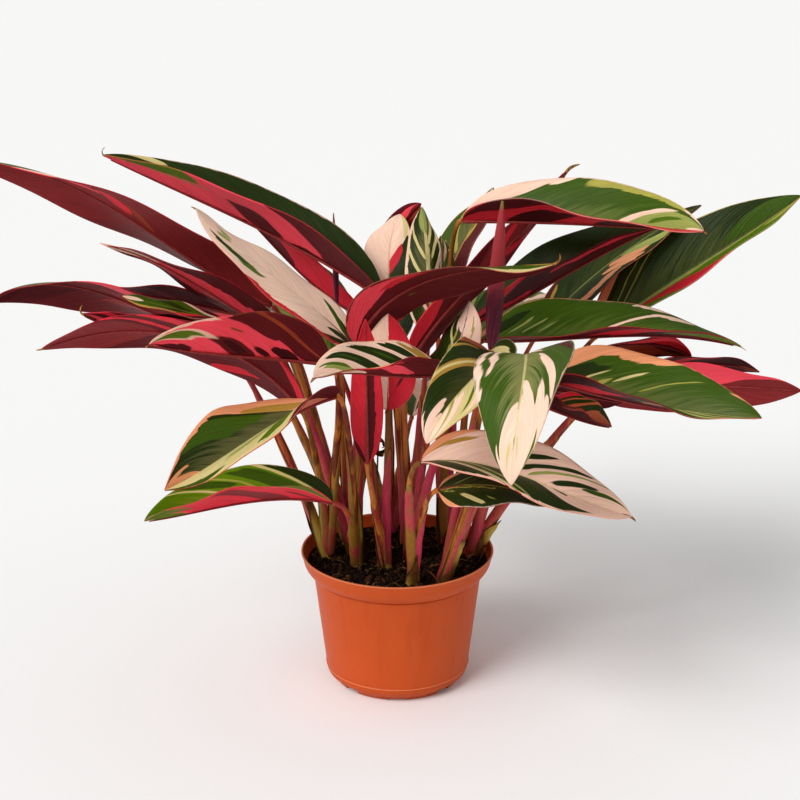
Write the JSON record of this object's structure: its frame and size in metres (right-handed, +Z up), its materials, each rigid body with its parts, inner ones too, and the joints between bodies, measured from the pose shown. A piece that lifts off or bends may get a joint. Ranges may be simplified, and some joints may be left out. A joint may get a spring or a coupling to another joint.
{
  "type": "potted plant",
  "caption": "Stromanthe house plant with long cream, green and maroon leaves on thin stalks, standing in a round nursery pot of soil.",
  "frame": {"origin": "middle of the pot's flat foot, where it rests", "axes": "+Z up, -Y the front of the plant, +X to its right, along the plant's widest spread"},
  "size_m": [0.6424, 0.4967, 0.4158],
  "materials": {
    "terracotta plastic": "terracotta-coloured moulded plastic, slightly satin",
    "soil": "dark peat compost, crumbly and matte",
    "leaf stalk": "living stalk, magenta to olive brown, slightly satin",
    "leaf upper side": "living leaf, dark green with cream, peach and pale green bands, satin",
    "leaf underside": "living leaf underside, maroon with pink bands, satin"
  },
  "bodies": {
    "root": {"pot": "terracotta plastic", "soil": "soil", "shoot_left": "leaf stalk", "shoot_left_front": "leaf stalk", "shoot_front": "leaf stalk", "shoot_middle": "leaf stalk", "shoot_front_edge": "leaf stalk", "shoot_right_front": "leaf stalk", "shoot_right": "leaf stalk", "shoot_right_edge": "leaf stalk", "shoot_left_back": "leaf stalk", "shoot_left_middle": "leaf stalk", "shoot_centre": "leaf stalk", "shoot_right_back": "leaf stalk", "shoot_back": "leaf stalk", "leaf_left_wavy": "leaf upper side", "leaf_left_low": "leaf upper side", "leaf_left_pink": "leaf upper side", "leaf_left_cream": "leaf upper side", "leaf_left_peach": "leaf upper side", "leaf_left_lowest": "leaf upper side", "leaf_middle_arch": "leaf upper side", "leaf_front_cream": "leaf upper side", "leaf_front_red": "leaf upper side", "leaf_front_left": "leaf upper side", "leaf_middle_tall": "leaf upper side", "leaf_middle_cream": "leaf upper side", "leaf_right_low": "leaf upper side", "leaf_right_low_dark": "leaf upper side", "leaf_right_small": "leaf upper side", "leaf_front_hanging": "leaf upper side", "leaf_front_folded": "leaf upper side", "leaf_right_middle": "leaf upper side", "leaf_right_front": "leaf upper side", "leaf_right_rose": "leaf upper side", "leaf_right_tucked": "leaf upper side", "leaf_right_back": "leaf upper side", "leaf_right_red": "leaf upper side", "leaf_left_arch": "leaf upper side", "leaf_left_arch_back": "leaf upper side", "leaf_left_long": "leaf upper side", "leaf_left_dark_back": "leaf upper side", "leaf_left_narrow": "leaf upper side", "leaf_left_dark": "leaf upper side", "leaf_left_twisted": "leaf upper side", "leaf_back_maroon": "leaf upper side", "leaf_back_cream": "leaf upper side", "leaf_middle_striped": "leaf upper side", "leaf_middle_small": "leaf upper side", "leaf_middle_behind": "leaf upper side", "leaf_right_high": "leaf upper side", "leaf_right_far": "leaf upper side", "leaf_right_shaded": "leaf upper side", "leaf_right_upper": "leaf upper side", "leaf_rear_left": "leaf upper side", "leaf_rear_middle": "leaf upper side", "leaf_rear_right": "leaf upper side", "leaf_rear_low": "leaf upper side", "leaf_rolled_middle": "leaf underside", "leaf_rolled_left": "leaf underside"}
  },
  "joints": []
}
